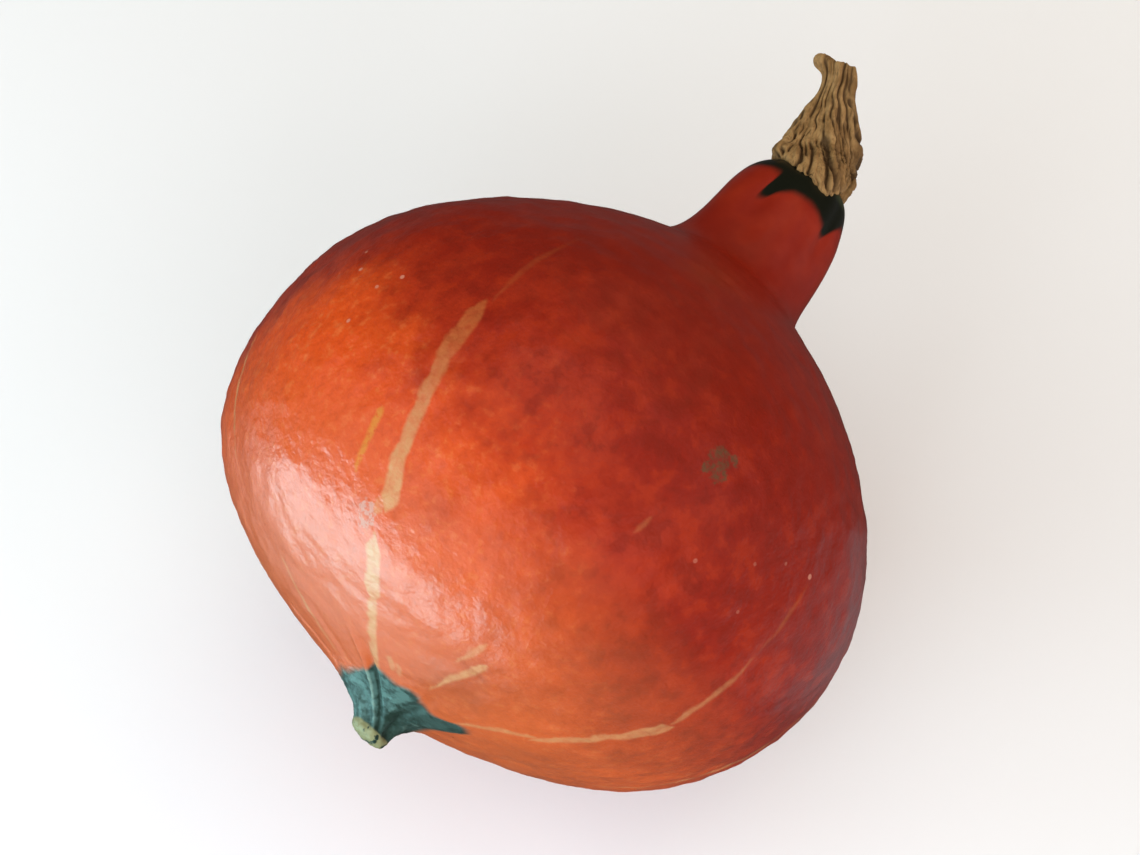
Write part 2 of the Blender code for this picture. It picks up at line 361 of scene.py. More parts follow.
def nub_relief(points):
    """Lift of the blossom nub in metres, and its creases: below 0 in a groove, above 0 on a ridge.

    A narrow ridge runs down it towards the top, with a deep groove beside it and small folds across.
    """
    height, longitude, radius = upright_places(points)
    leaning = np.interp(height, *zip(*NUB_LEAN))
    across = radius * np.cos(np.radians(longitude)) - leaning * math.cos(NUB_LEAN_SIDE)
    over = radius * np.sin(np.radians(longitude)) - leaning * math.sin(NUB_LEAN_SIDE)
    turned = np.degrees(np.arctan2(over, across)) + NUB_CREASE_TURN * (height + 64.0)
    reach = np.hypot(across, over)
    there = smooth_step(height, -61.0, -66.5) * smooth_step(reach, 2.0, 4.5)
    there *= smooth_step(height, SCAR_EDGE - 1.9, SCAR_EDGE + 0.1)
    creases = np.zeros(len(points))
    for middle, width, depth in NUB_CREASES:
        gap = np.radians(around_gap(turned, middle)) * reach
        creases += depth * hump(gap, width)
    folds = bump_pattern(points, 1.5 * MM, 3, (2.4, 1.0, 1.0)) + 0.5 * bump_pattern(points, 0.7 * MM, 4)
    creases = there * (creases + 0.35 * folds * smooth_step(reach, 26.0, 12.0))
    return creases * NUB_CREASE_DEPTH, creases


def scar_relief(points):
    """The blossom scar: a rough cap with a low rim."""
    height, _, _ = upright_places(points)
    rough = bump_pattern(points, 1.3 * MM, 5) + 0.5 * bump_pattern(points, 0.6 * MM, 6)
    return smooth_step(height, SCAR_EDGE, SCAR_EDGE - 1.2) * (0.2 * MM + SCAR_ROUGHNESS * rough)


def neck_relief(points):
    """Furrows of the neck, which the dark tongues run down in."""
    height, longitude, _ = upright_places(points)
    there = smooth_step(height, 94.0, 105.0) * smooth_step(height, 121.0, 116.0)
    furrows = sum(hump(around_gap(longitude, middle), NECK_FURROW_WIDTH) for middle in NECK_FURROWS)
    return -NECK_FURROW_DEPTH * there * furrows


def spot_relief(points, spot, crust_height):
    """A raised crust with a rough top."""
    height, longitude, radius = upright_places(points)
    gap = np.radians(around_gap(longitude, spot[1])) * radius
    distance = np.hypot(gap, (height - spot[0]) * 1.15)
    rough = bump_pattern(points, 1.6 * MM, 8)
    return smooth_step(distance, spot[2] * 1.2, spot[2] * 0.5) * (0.3 + 0.9 * rough) * crust_height


def rind_piece():
    form = merged_copy("fruit", "form")
    apply_modifier(form, "SUBSURF", levels=FORM_LEVELS, render_levels=FORM_LEVELS)
    rind = form.copy()
    rind.data = form.data.copy()
    rind.name = "rind"
    rind.data.name = "rind"
    bpy.context.scene.collection.objects.link(rind)
    apply_modifier(rind, "REMESH", mode="VOXEL", voxel_size=RIND_VOXEL)
    for low, high in RIND_FINE_ENDS:
        height, _, _ = upright_places(points_of(rind.data))
        split_where(rind, (height < low) | (height > high))
    apply_modifier(rind, "SMOOTH", factor=0.5, iterations=3)
    apply_modifier(rind, "SHRINKWRAP", target=form, wrap_method="NEAREST_SURFACEPOINT")
    bpy.data.objects.remove(form)

    height, _, _ = upright_places(points_of(rind.data))
    belly = smooth_step(height, -70.0, -58.0) * (1.0 - 0.85 * smooth_step(height, 55.0, 85.0))
    group = weigh(rind, "belly", belly)
    for size, swell in RIND_RELIEF:
        texture = cloud_texture("swells", size, 1)
        apply_modifier(
            rind, "DISPLACE", texture=texture, texture_coords="LOCAL", strength=swell, vertex_group=group
        )
        bpy.data.textures.remove(texture)
    rind.vertex_groups.clear()

    points = points_of(rind.data)
    nub_lift, creases = nub_relief(points)
    crusts = spot_relief(points, CORKY_SPOT, CORKY_CRUST)
    for patch in SCAB:
        crusts += spot_relief(points, patch, SCAB_CRUST)
    lift(rind, nub_lift + scar_relief(points) + neck_relief(points) + crusts)
    # The creases also drive the painted highlight on the nub's ridges and the painted shade in its grooves
    keep_values(rind, "crease", creases)
    rind.data.shade_smooth()
    return rind


# The stem


def stem_places(points):
    """Share of the way from foot to tip, degrees round the stem's line, and millimetres from it."""
    line = (STEM_TIP - STEM_FOOT).normalized()
    first = Vector((0.0, 0.0, -1.0))
    first = (first - line * first.dot(line)).normalized()
    second = line.cross(first)
    offset = points - np.array(STEM_FOOT)
    along = offset @ np.array(line) / (STEM_TIP - STEM_FOOT).length
    x, y = offset @ np.array(first), offset @ np.array(second)
    return along, np.degrees(np.arctan2(y, x)) % FULL_TURN, np.hypot(x, y) / MM


def cork_relief(points):
    """Furrows and fibres of the dry stem: its lifts, its shifts along its line, and its painted shade.

    Lifts and shifts are in metres, and the painted shade goes from 0 to 1: darker in the furrows, between
    the strands and on the low fibres, and on the side away from the light.
    """
    along, around, reach = stem_places(points)
    draw = np.random.default_rng(STEM_SEED)
    twisted = around + STEM_TURN * along + 9.0 * bump_pattern(points, 4.0 * MM, 2)
    furrows = np.zeros(len(points))
    for k in range(STEM_FURROWS):
        middle = (k + draw.uniform(-0.45, 0.45)) * FULL_TURN / STEM_FURROWS
        width, depth = draw.uniform(3.0, 6.0), draw.uniform(0.5, 1.0)
        start = draw.uniform(-0.3, 0.7)
        end = start + draw.uniform(0.3, 0.8)
        drift = draw.uniform(-30.0, 30.0)
        shape = hump(around_gap(twisted + drift * (along - 0.5), middle), width)
        reached = smooth_step(along, start, start + 0.1) * smooth_step(along, end, end - 0.1)
        furrows = np.maximum(furrows, depth * shape * reached)
    # Valleys between the strands, and finer ones that split each strand towards the foot
    phase = np.radians(twisted * STEM_STRANDS) + 2.0 * bump_pattern(points, 3.0 * MM, 7)
    valleys = hump(np.sin(phase / 2.0), 0.4) * (1.0 - 0.45 * smooth_step(along, 0.5, 0.9))
    valleys *= 0.3 + 0.7 * smooth_step(bump_pattern(points, 3.2 * MM, 11), -0.35, 0.3)
    split = np.radians(twisted * STEM_STRANDS * 2.0) + 3.0 * bump_pattern(points, 3.0 * MM, 15)
    fine = hump(np.sin(split / 2.0), 0.45) * smooth_step(bump_pattern(points, 2.8 * MM, 17), -0.2, 0.3)
    furrows = np.maximum(np.maximum(furrows, valleys), 0.7 * fine * smooth_step(along, 0.75, 0.3))
    angle = np.radians(twisted)
    wrapped = np.stack([np.cos(angle) * 8.0, np.sin(angle) * 8.0, along * 6.0], axis=1)
    fibres = bump_pattern(wrapped, 1.3, 4) + 0.7 * bump_pattern(wrapped, 0.55, 6)
    side = smooth_step(along, -0.06, 0.05) * smooth_step(along, 1.03, 0.97)
    facing = hump(around_gap(around, STEM_BULGE_SIDE), STEM_BULGE_SPREAD)
    swell = STEM_BULGE * facing * smooth_step(along, 0.0, 0.16) * smooth_step(along, 0.72, 0.4)
    hook = STEM_HOOK * facing * smooth_step(along, 0.86, 0.97)
    away = hump(around_gap(around, STEM_SWELL_SIDE), STEM_SWELL_SPREAD)
    swell += STEM_SWELL * away * smooth_step(along, 0.05, 0.25) * smooth_step(along, 1.0, 0.85)
    toes = smooth_step(along, 0.22, 0.02) * smooth_step(reach, 6.0, 9.0)
    relief = side * (reach / 9.0) * (0.4 + STEM_FIBRE_HEIGHT * fibres - STEM_FURROW_DEPTH * furrows)
    relief += toes * (STEM_TOE_HEIGHT * (1.0 - furrows) + 0.3 * fibres)
    broken = STEM_TIP_REACH + STEM_TIP_ROUGHNESS * bump_pattern(points, 1.8 * MM, 9)
    shifts = smooth_step(along, 0.85, 1.0) * broken + 1.2 * facing * toes
    # Painted shade: darker in the furrows and valleys, on the low fibres, and on the side away from the
    # light
    dark = np.clip(furrows * side + 0.35 * np.maximum(-fibres, 0.0) + 0.3 * away, 0.0, 1.0)
    return (relief + swell + hook) * MM, shifts * MM, dark


def drape_foot(stem, rind):
    """Draws the stem's foot out over the neck on its upper side, along the skin and closer to it."""
    points = points_of(stem.data)
    along, around, reach = stem_places(points)
    draws = hump(around_gap(around, FOOT_SIDE), FOOT_SPREAD) * smooth_step(along, 0.3, 0.02)
    draws *= smooth_step(reach, 1.0, 8.0) * FOOT_REACH
    line = (STEM_TIP - STEM_FOOT).normalized()
    for index in np.flatnonzero(draws > WELD):
        start = Vector(points[index])
        outward = start - STEM_FOOT
        outward = (outward - line * outward.dot(line)).normalized()
        near = rind.closest_point_on_mesh(start)[1]
        there = rind.closest_point_on_mesh(start + (outward - line * 0.8) * draws[index])[1]
        points[index] = there + (start - near) * (1.0 - 0.4 * draws[index] / FOOT_REACH)
    stem.data.vertices.foreach_set("co", points.ravel())
    stem.data.update()


def keep_values(piece, name, values):
    """Stores one number for each vertex, for the material to read."""
    attribute = piece.data.attributes.new(name, "FLOAT", "POINT")
    attribute.data.foreach_set("value", values.astype(np.float32))


def stem_piece(rind):
    stem = merged_copy("stem", "corky_stem")
    apply_modifier(stem, "SUBSURF", levels=STEM_LEVELS, render_levels=STEM_LEVELS)
    lifts, shifts, dark = cork_relief(points_of(stem.data))
    drape_foot(stem, rind)
    lift(stem, lifts)
    points = points_of(stem.data) + shifts[:, None] * np.array((STEM_TIP - STEM_FOOT).normalized())
    stem.data.vertices.foreach_set("co", points.ravel())
    stem.data.update()
    # Keeps the painted shade for the material
    keep_values(stem, "dark", dark)
    stem.data.shade_smooth()
    return stem


# Finishes


class Sheet:
    """Sets nodes out on a node tree and wires them up."""

    def __init__(self, tree):
        self.tree = tree

    def node(self, kind, inputs=None, **settings):
        made = self.tree.nodes.new(kind)
        for name, value in settings.items():
            setattr(made, name, value)
        for name, value in (inputs or {}).items():
            self.feed(made.inputs[name], value)
        return made

    def feed(self, socket, value):
        if isinstance(value, bpy.types.NodeSocket):
            self.tree.links.new(value, socket)
        else:
            socket.default_value = value

    def maths(self, operation, *values):
        made = self.node("ShaderNodeMath", dict(enumerate(values)), operation=operation)
        return made.outputs[0]

    def vector(self, operation, *values, output=0):
        made = self.node("ShaderNodeVectorMath", dict(enumerate(values)), operation=operation)
        return made.outputs[output]

    def step(self, value, low, high):
        """0 at low, 1 at high, with a smooth rise. It falls where low lies above high."""
        inputs = {"Value": value, "From Min": low, "From Max": high}
        return self.node("ShaderNodeMapRange", inputs, interpolation_type="SMOOTHSTEP").outputs[0]

    def spread(self, value, low, high, bottom, top):
        """Turns low to high into bottom to top, and stops there."""
        inputs = {"Value": value, "From Min": low, "From Max": high, "To Min": bottom, "To Max": top}
        return self.node("ShaderNodeMapRange", inputs).outputs[0]

    def mix(self, mask, first, second, blend="MIX"):
        inputs = {0: mask, 6: first, 7: second}
        return self.node("ShaderNodeMix", inputs, data_type="RGBA", blend_type=blend).outputs[2]

    def cloud(self, vector, size, detail=2.0, rough=0.5):
        """Random values from 0 to 1, in swells of this size."""
        inputs = {"Vector": vector, "Scale": 1.0 / size, "Detail": detail, "Roughness": rough}
        return self.node("ShaderNodeTexNoise", inputs).outputs[0]

    def longitude(self, level):
        """Degrees round the fruit's own line, from 0 to 360, with the step between them at longitude 0."""
        opposite = self.vector("MULTIPLY", level, (-1.0, -1.0, 1.0))
        x, y, _ = self.node("ShaderNodeSeparateXYZ", {0: opposite}).outputs
        return self.maths("ADD", self.maths("DEGREES", self.maths("ARCTAN2", y, x)), HALF_TURN)

    def turn(self, longitude, middle):
        """The way round from the middle in radians, from minus half a turn to half a turn."""
        gap = self.maths("SUBTRACT", longitude, middle)
        return self.maths("RADIANS", self.maths("WRAP", gap, HALF_TURN, -HALF_TURN))

    def outline(self, value, points, low, reach):
        """Reads a curve through the points, given as degrees and a value between low and low + reach."""
        share = self.maths("DIVIDE", value, FULL_TURN)
        made = self.node("ShaderNodeFloatCurve", {"Value": share})
        curve = made.mapping.curves[0]
        places = [(degrees / FULL_TURN, (value - low) / reach) for degrees, value in points]
        curve.points[0].location = places[0]
        curve.points[1].location = places[-1]
        for place in places[1:-1]:
            curve.points.new(*place)
        made.mapping.update()
        return self.maths("MULTIPLY_ADD", made.outputs[0], reach, low)


def new_group(name, inputs, outputs):
    """An empty node group with these sockets, its sheet, its inputs by name and its output node."""
    group = bpy.data.node_groups.new(name, "ShaderNodeTree")
    for label, kind in inputs:
        group.interface.new_socket(label, in_out="INPUT", socket_type=kind)
    for label, kind in outputs:
        group.interface.new_socket(label, in_out="OUTPUT", socket_type=kind)
    sheet = Sheet(group)
    source = sheet.node("NodeGroupInput")
    return group, sheet, source.outputs, sheet.node("NodeGroupOutput")


PLACE_LABELS = ("Height", "Longitude", "Radius", "Waver")
STREAK_LABELS = (
    "Top", "Top longitude", "Foot", "Foot longitude", "Half width", "Top taper", "Foot taper", "Strength",
)
SPOT_LABELS = ("Spot height", "Spot longitude", "Half width", "Strength")


def mask_group(name, labels):
    """A node group that takes these numbers and puts out one mask."""
    inputs = [(label, "NodeSocketFloat") for label in PLACE_LABELS + labels]
    return new_group(name, inputs, [("Mask", "NodeSocketFloat")])


def streak_group():
    """A long mark that runs along the fruit, tapers at its ends and wavers a little."""
    group, sheet, given, result = mask_group("streak", STREAK_LABELS)
    length = sheet.maths("SUBTRACT", given["Top"], given["Foot"])
    share = sheet.maths("DIVIDE", sheet.maths("SUBTRACT", given["Top"], given["Height"]), length)
    drift = sheet.maths("SUBTRACT", given["Foot longitude"], given["Top longitude"])
    middle = sheet.maths("MULTIPLY_ADD", drift, share, given["Top longitude"])
    turn = sheet.turn(given["Longitude"], middle)
    gap = sheet.maths("ABSOLUTE", sheet.maths("MULTIPLY_ADD", turn, given["Radius"], given["Waver"]))
    rise = sheet.step(share, 0.0, given["Top taper"])
    fall = sheet.step(share, 1.0, sheet.maths("SUBTRACT", 1.0, given["Foot taper"]))
    body = sheet.maths("MULTIPLY", rise, fall)
    inside = sheet.maths("SUBTRACT", sheet.maths("MULTIPLY", given["Half width"], body), gap)
    ragged = sheet.maths("MULTIPLY_ADD", given["Waver"], 0.5, inside)
    mask = sheet.maths("MULTIPLY", sheet.step(ragged, -0.65, 0.65), sheet.step(body, 0.0, 0.15))
    sheet.feed(result.inputs["Mask"], sheet.maths("MULTIPLY", mask, given["Strength"]))
    return group


def spot_group():
    """A small round mark with a ragged edge."""
    group, sheet, given, result = mask_group("spot", SPOT_LABELS)
    turn = sheet.turn(given["Longitude"], given["Spot longitude"])
    side = sheet.maths("MULTIPLY", turn, given["Radius"])
    rise = sheet.maths("SUBTRACT", given["Height"], given["Spot height"])
    squares = sheet.maths("ADD", sheet.maths("POWER", side, 2.0), sheet.maths("POWER", rise, 2.0))
    gap = sheet.maths("SQRT", squares)
    wobbly = sheet.maths("MULTIPLY_ADD", given["Waver"], 0.5, gap)
    inner = sheet.maths("MULTIPLY", given["Half width"], 0.7)
    outer = sheet.maths("MULTIPLY", given["Half width"], 1.25)
    mask = sheet.maths("MULTIPLY", sheet.step(wobbly, outer, inner), given["Strength"])
    sheet.feed(result.inputs["Mask"], mask)
    return group


def place_group(sheet, group, inputs, labels, row):
    """Places the group on the sheet with these inputs, and the numbers of one row under their labels."""
    made = sheet.tree.nodes.new("ShaderNodeGroup")
    made.node_tree = group
    for name, value in {**inputs, **dict(zip(labels, row))}.items():
        sheet.feed(made.inputs[name], value)
    return made.outputs[0]


def strongest(sheet, group, inputs, labels, rows):
    """The strongest of the masks that the group gives for these rows."""
    most = 0.0
    for row in rows:
        most = sheet.maths("MAXIMUM", place_group(sheet, group, inputs, labels, row), most)
    return most


def new_material(name):
    material = bpy.data.materials.new(name)
    material.use_nodes = True
    shader = material.node_tree.nodes["Principled BSDF"]
    return material, Sheet(material.node_tree), shader


# Sizes of the skin's random patterns, in millimetres
BROAD_SIZE = 30.0
BLOTCH_SIZE = 9.0
MOTTLE_SIZE = 6.0
WAVER_SIZE = 5.0
NUB_PATCH_SIZE = 3.6
WRINKLE_SIZE = 3.4
SCAR_PATCH_SIZE = 2.6
FLECK_SIZE = 2.4
GRAIN_SIZE = 1.3
FINE_WRINKLE_SIZE = 1.1
WRINKLE_DEPTH = 0.5 * MM

# Heights, in millimetres, between which the skin ripens from red to orange, turns
# pale towards the blossom, loses its mottles, reddens on the neck, turns green at
# the nub, and turns olive at the stem's seat
RIPENS = (30.0, -52.0)
PALES = (-18.0, -60.0)
MOTTLES_END = (60.0, 0.0)
NECK_REDDENS = (78.0, 98.0)
NUB_GREENS = (-50.0, -60.0)
SEAT_STARTS = (117.0, 119.0)

# Roughness of the skin where it is glossiest, how much more it can be, and how much
# more again on crusts and on the green
SKIN_GLOSS = 0.24
SKIN_GLOSS_CHANGE = 0.16
SKIN_DULL = 0.2

DEEP_RED = tone(131, 27, 11)
BRIGHT_RED = tone(152, 39, 13)
BLOTCH_RED = tone(164, 44, 10)
BLOTCH_DARK = tone(112, 24, 10)
ORANGE = tone(198, 68, 15)
PALE_ORANGE = tone(206, 106, 52)
BLOSSOM_PALE = tone(166, 94, 44)
STREAK_RED = tone(170, 90, 44)
STREAK_TAN = tone(182, 130, 82)
SPECK_PALE = tone(196, 128, 104)
SCRATCH_YELLOW = tone(188, 114, 34)
SCAB_BROWN = tone(92, 62, 36)
CRUST_PALE = tone(176, 138, 122)
NUB_TEAL = tone(68, 100, 92)
# The nub's dark green, also used as painted shade on its underside and in its grooves
NUB_DARK_GREEN_AND_SHADE = tone(26, 46, 36)
# Painted highlight along the nub's ridges
NUB_RIDGE_PAINTED_HIGHLIGHT = tone(106, 130, 116)
SCAR_CREAM = tone(126, 126, 86)
NECK_GREEN = tone(20, 22, 14)
NECK_OLIVE = tone(46, 52, 28)


def rind_places(sheet):
    """Places on the rind in the upright frame, in millimetres: as vectors, their heights and level parts."""
    texture = sheet.node("ShaderNodeTexCoord")
    mapping = sheet.node("ShaderNodeMapping", {"Vector": texture.outputs["Object"]}, vector_type="TEXTURE")
    mapping.inputs["Location"].default_value = BELT_CENTRE
    mapping.inputs["Rotation"].default_value = (0.0, math.pi / 2.0 - AXIS_RISE, 0.0)
    mapping.inputs["Scale"].default_value = (MM, MM, MM)
    upright = mapping.outputs[0]
    x, y, height = sheet.node("ShaderNodeSeparateXYZ", {0: upright}).outputs
    level = sheet.node("ShaderNodeCombineXYZ", {0: x, 1: y}).outputs[0]
    return upright, height, level


def rind_material():
    material, sheet, shader = new_material("rind_skin")
    upright, height, level = rind_places(sheet)
    radius = sheet.vector("LENGTH", level, output=1)
    longitude = sheet.longitude(level)
    place = {"Height": height, "Longitude": longitude, "Radius": radius}
    spot = spot_group()
    streak = streak_group()

    # Ripening: deep red at the neck, orange towards the blossom and in the warm patches
    broad = sheet.cloud(upright, BROAD_SIZE, 1.0)
    blotches = sheet.cloud(upright, BLOTCH_SIZE, 2.0, 0.55)
    mottles = sheet.cloud(upright, MOTTLE_SIZE, 3.0, 0.6)
    flecks = sheet.cloud(upright, FLECK_SIZE, 3.0, 0.6)
    loose = {**place, "Waver": sheet.maths("MULTIPLY_ADD", broad, 60.0, -30.0)}
    ripe = sheet.spread(height, *RIPENS, 0.0, 1.0)
    for row in SKIN_PATCHES:
        ripe = sheet.maths("ADD", ripe, place_group(sheet, spot, loose, SPOT_LABELS, row))
    ripe = sheet.maths("MULTIPLY_ADD", sheet.step(height, *NECK_REDDENS), 0.15, ripe)
    ripe = sheet.maths("ADD", ripe, sheet.maths("MULTIPLY_ADD", broad, 0.8, -0.4))
    ripe = sheet.maths("ADD", ripe, sheet.maths("MULTIPLY_ADD", blotches, 0.7, -0.35))
    skin = sheet.mix(sheet.step(ripe, 0.0, 0.5), DEEP_RED, BRIGHT_RED)
    mottled = sheet.spread(height, *MOTTLES_END, 0.1, 0.45)
    skin = sheet.mix(sheet.maths("MULTIPLY", sheet.step(mottles, 0.5, 0.66), mottled), skin, BLOTCH_RED)
    skin = sheet.mix(sheet.maths("MULTIPLY", sheet.step(mottles, 0.5, 0.36), mottled), skin, BLOTCH_DARK)
    skin = sheet.mix(sheet.step(ripe, 0.4, 1.05), skin, ORANGE)
    pale_share = sheet.maths("MULTIPLY", sheet.step(flecks, 0.5, 0.75), sheet.step(ripe, 0.3, 1.0))
    skin = sheet.mix(sheet.maths("MULTIPLY", pale_share, 0.5), skin, PALE_ORANGE)
    skin = sheet.mix(sheet.maths("MULTIPLY", sheet.step(flecks, 0.5, 0.28), 0.22), skin, DEEP_RED)
    skin = sheet.mix(sheet.spread(height, *PALES, 0.0, 0.5), skin, BLOSSOM_PALE)

    # Pale streaks, specks, the scratch, the scab and the corky spot
    waver = sheet.cloud(upright, WAVER_SIZE, 2.0, 0.6)
    waver = sheet.maths("MULTIPLY_ADD", waver, 2.0, -1.0)
    wavy = {**place, "Waver": waver}
    grain = sheet.cloud(upright, GRAIN_SIZE, 2.0, 0.7)
    streaks = strongest(sheet, streak, wavy, STREAK_LABELS, STREAKS)
    streaks = sheet.maths("MULTIPLY", streaks, sheet.spread(height, 30.0, -30.0, 0.6, 1.0))
    streaks = sheet.maths("MULTIPLY", streaks, sheet.spread(flecks, 0.35, 0.6, 0.6, 1.0))
    skin = sheet.mix(streaks, skin, sheet.mix(sheet.step(height, -36.0, 6.0), STREAK_TAN, STREAK_RED))
    specks = strongest(sheet, spot, {**place, "Waver": 0.0}, SPOT_LABELS, SPECKS)
    skin = sheet.mix(specks, skin, SPECK_PALE)
    scratch = place_group(sheet, streak, wavy, STREAK_LABELS, SCRATCH)
    skin = sheet.mix(sheet.maths("MULTIPLY", scratch, sheet.step(grain, 0.25, 0.48)), skin, SCRATCH_YELLOW)
    ragged = sheet.maths("MULTIPLY_ADD", waver, 1.5, sheet.maths("MULTIPLY_ADD", grain, -7.0, 3.5))
    ragged = {**place, "Waver": ragged, "Strength": 1.0}
    scab = strongest(sheet, spot, ragged, SPOT_LABELS, SCAB)
    scab_share = sheet.maths("MULTIPLY", scab, sheet.spread(grain, 0.4, 0.6, 0.1, 0.85))
    skin = sheet.mix(scab_share, skin, SCAB_BROWN)
    crust = place_group(sheet, spot, ragged, SPOT_LABELS, CORKY_SPOT)
    crust_share = sheet.maths("MULTIPLY", crust, sheet.spread(grain, 0.4, 0.55, 0.15, 0.7))
    skin = sheet.mix(crust_share, skin, CRUST_PALE)

    # The green blossom nub with its cream scar
    crease = sheet.node("ShaderNodeAttribute", attribute_name="crease").outputs["Fac"]
    from_nub = sheet.vector("SUBTRACT", level, (*NUB_MIDDLE, 0.0))
    edge = sheet.outline(sheet.longitude(from_nub), NUB_GREEN_EDGE, 0.0, NUB_EDGE_REACH)
    inside = sheet.maths("SUBTRACT", edge, sheet.vector("LENGTH", from_nub, output=1))
    fringe = sheet.maths("MULTIPLY_ADD", waver, 0.9, inside)
    green = sheet.maths("MULTIPLY", sheet.step(fringe, -1.6, 2.4), sheet.step(height, *NUB_GREENS))
    nub_patches = sheet.cloud(upright, NUB_PATCH_SIZE, 3.0, 0.6)
    teal = sheet.mix(sheet.step(nub_patches, 0.36, 0.6), NUB_DARK_GREEN_AND_SHADE, NUB_TEAL)
    # Painted shade on the nub's underside, where it curves away from the light
    under = sheet.spread(sheet.longitude(from_nub), 224.0, 238.0, 0.0, 0.75)
    teal = sheet.mix(under, teal, NUB_DARK_GREEN_AND_SHADE)
    # Painted highlight along the ridges, and painted shade in the grooves
    teal = sheet.mix(sheet.step(crease, 0.3, 1.1), teal, NUB_RIDGE_PAINTED_HIGHLIGHT)
    teal = sheet.mix(sheet.step(crease, -0.2, -1.0), teal, NUB_DARK_GREEN_AND_SHADE)
    skin = sheet.mix(green, skin, teal)
    scar = sheet.step(sheet.maths("MULTIPLY_ADD", waver, 1.1, height), SCAR_EDGE, SCAR_EDGE - 0.8)
    scar_patches = sheet.cloud(upright, SCAR_PATCH_SIZE, 2.0)
    cream = sheet.mix(sheet.step(scar_patches, 0.56, 0.62), SCAR_CREAM, NUB_DARK_GREEN_AND_SHADE)
    skin = sheet.mix(scar, skin, cream)

    # The dark green ring under the stem
    slant = sheet.maths("MULTIPLY", sheet.maths("SUBTRACT", NECK_SLANT_HEIGHT, height), NECK_SLANT)
    along = sheet.maths("ADD", longitude, slant)
    ring_edge = sheet.outline(along, NECK_RING_EDGE, NECK_EDGE_BASE, NECK_EDGE_REACH)
    above = sheet.maths("MULTIPLY_ADD", waver, 0.7, sheet.maths("SUBTRACT", height, ring_edge))
    skin = sheet.mix(sheet.step(above, -1.8, 1.6), skin, NECK_GREEN)
    skin = sheet.mix(sheet.step(height, *SEAT_STARTS), skin, NECK_OLIVE)
    sheet.feed(shader.inputs["Base Color"], skin)

    # Gloss and fine wrinkles
    dull = sheet.maths("MAXIMUM", sheet.maths("MAXIMUM", scab, crust), sheet.maths("MAXIMUM", scar, green))
    gloss = sheet.maths("MULTIPLY_ADD", blotches, SKIN_GLOSS_CHANGE, SKIN_GLOSS)
    sheet.feed(shader.inputs["Roughness"], sheet.maths("MULTIPLY_ADD", dull, SKIN_DULL, gloss))
    wrinkles = sheet.cloud(upright, WRINKLE_SIZE, 2.0, 0.55)
    relief = sheet.maths("MULTIPLY_ADD", sheet.cloud(upright, FINE_WRINKLE_SIZE, 2.0, 0.55), 0.35, wrinkles)
    relief = sheet.maths("MULTIPLY", relief, sheet.spread(height, 10.0, 60.0, 1.0, 0.15))
    relief = sheet.maths("MULTIPLY", relief, sheet.spread(height, -46.0, -60.0, 1.0, 0.35))
    bump = sheet.node("ShaderNodeBump", {"Strength": 0.7, "Distance": WRINKLE_DEPTH, "Height": relief})
    sheet.feed(shader.inputs["Normal"], bump.outputs[0])
    return material


# Width of the cork's fibres in millimetres, their width for their length, the size
# of the cork's patches in millimetres, and how deep the fibres are
CORK_FIBRE_SIZE = 0.55
CORK_FIBRE_STRETCH = 0.16
CORK_PATCH_SIZE = 4.5
CORK_FIBRE_DEPTH = 0.35 * MM

CORK_LIGHT = tone(160, 124, 76)
CORK_MIDDLE = tone(126, 92, 50)
# Dark cork, also used as painted shade in the stem's furrows and on its side away from the light
CORK_DARK_AND_SHADE = tone(58, 37, 16)


def cork_material():
    material, sheet, shader = new_material("stem_cork")
    texture = sheet.node("ShaderNodeTexCoord")
    line = (STEM_TIP - STEM_FOOT).normalized()
    turn = line.to_track_quat("Z", "X").to_euler()
    mapping = sheet.node("ShaderNodeMapping", {"Vector": texture.outputs["Object"]}, vector_type="TEXTURE")
    mapping.inputs["Location"].default_value = STEM_FOOT
    mapping.inputs["Rotation"].default_value = turn
    mapping.inputs["Scale"].default_value = (MM, MM, MM)
    along = mapping.outputs[0]
    dark = sheet.node("ShaderNodeAttribute", attribute_name="dark").outputs["Fac"]
    stretched = sheet.vector("MULTIPLY", along, (1.0, 1.0, CORK_FIBRE_STRETCH))
    fibres = sheet.cloud(stretched, CORK_FIBRE_SIZE, 4.0, 0.65)
    patches = sheet.cloud(along, CORK_PATCH_SIZE, 3.0, 0.6)
    cork = sheet.mix(sheet.step(patches, 0.35, 0.65), CORK_MIDDLE, CORK_LIGHT)
    cork = sheet.mix(sheet.maths("MULTIPLY", sheet.step(fibres, 0.52, 0.32), 0.5), cork, CORK_DARK_AND_SHADE)
    # Painted shade, from the stem's relief and its side away from the light
    cork = sheet.mix(sheet.maths("MULTIPLY", sheet.step(dark, 0.1, 0.85), 0.85), cork, CORK_DARK_AND_SHADE)
    sheet.feed(shader.inputs["Base Color"], cork)
    sheet.feed(shader.inputs["Roughness"], sheet.maths("MULTIPLY_ADD", fibres, 0.2, 0.72))
    bump = sheet.node("ShaderNodeBump", {"Strength": 0.7, "Distance": CORK_FIBRE_DEPTH, "Height": fibres})
    sheet.feed(shader.inputs["Normal"], bump.outputs[0])
    return material


# Table, light and camera


TABLE_WHITE = tone(236, 236, 235)
TABLE_SHADE = tone(232, 232, 231)
BLACK = tone(0, 0, 0)

# The table fades out into the pale room between these distances, in metres
TABLE_FADE_START = 0.9
TABLE_RADIUS = 2.2

# Share of the table's light that shows in the fruit's gloss
TABLE_IN_GLOSS = 0.08


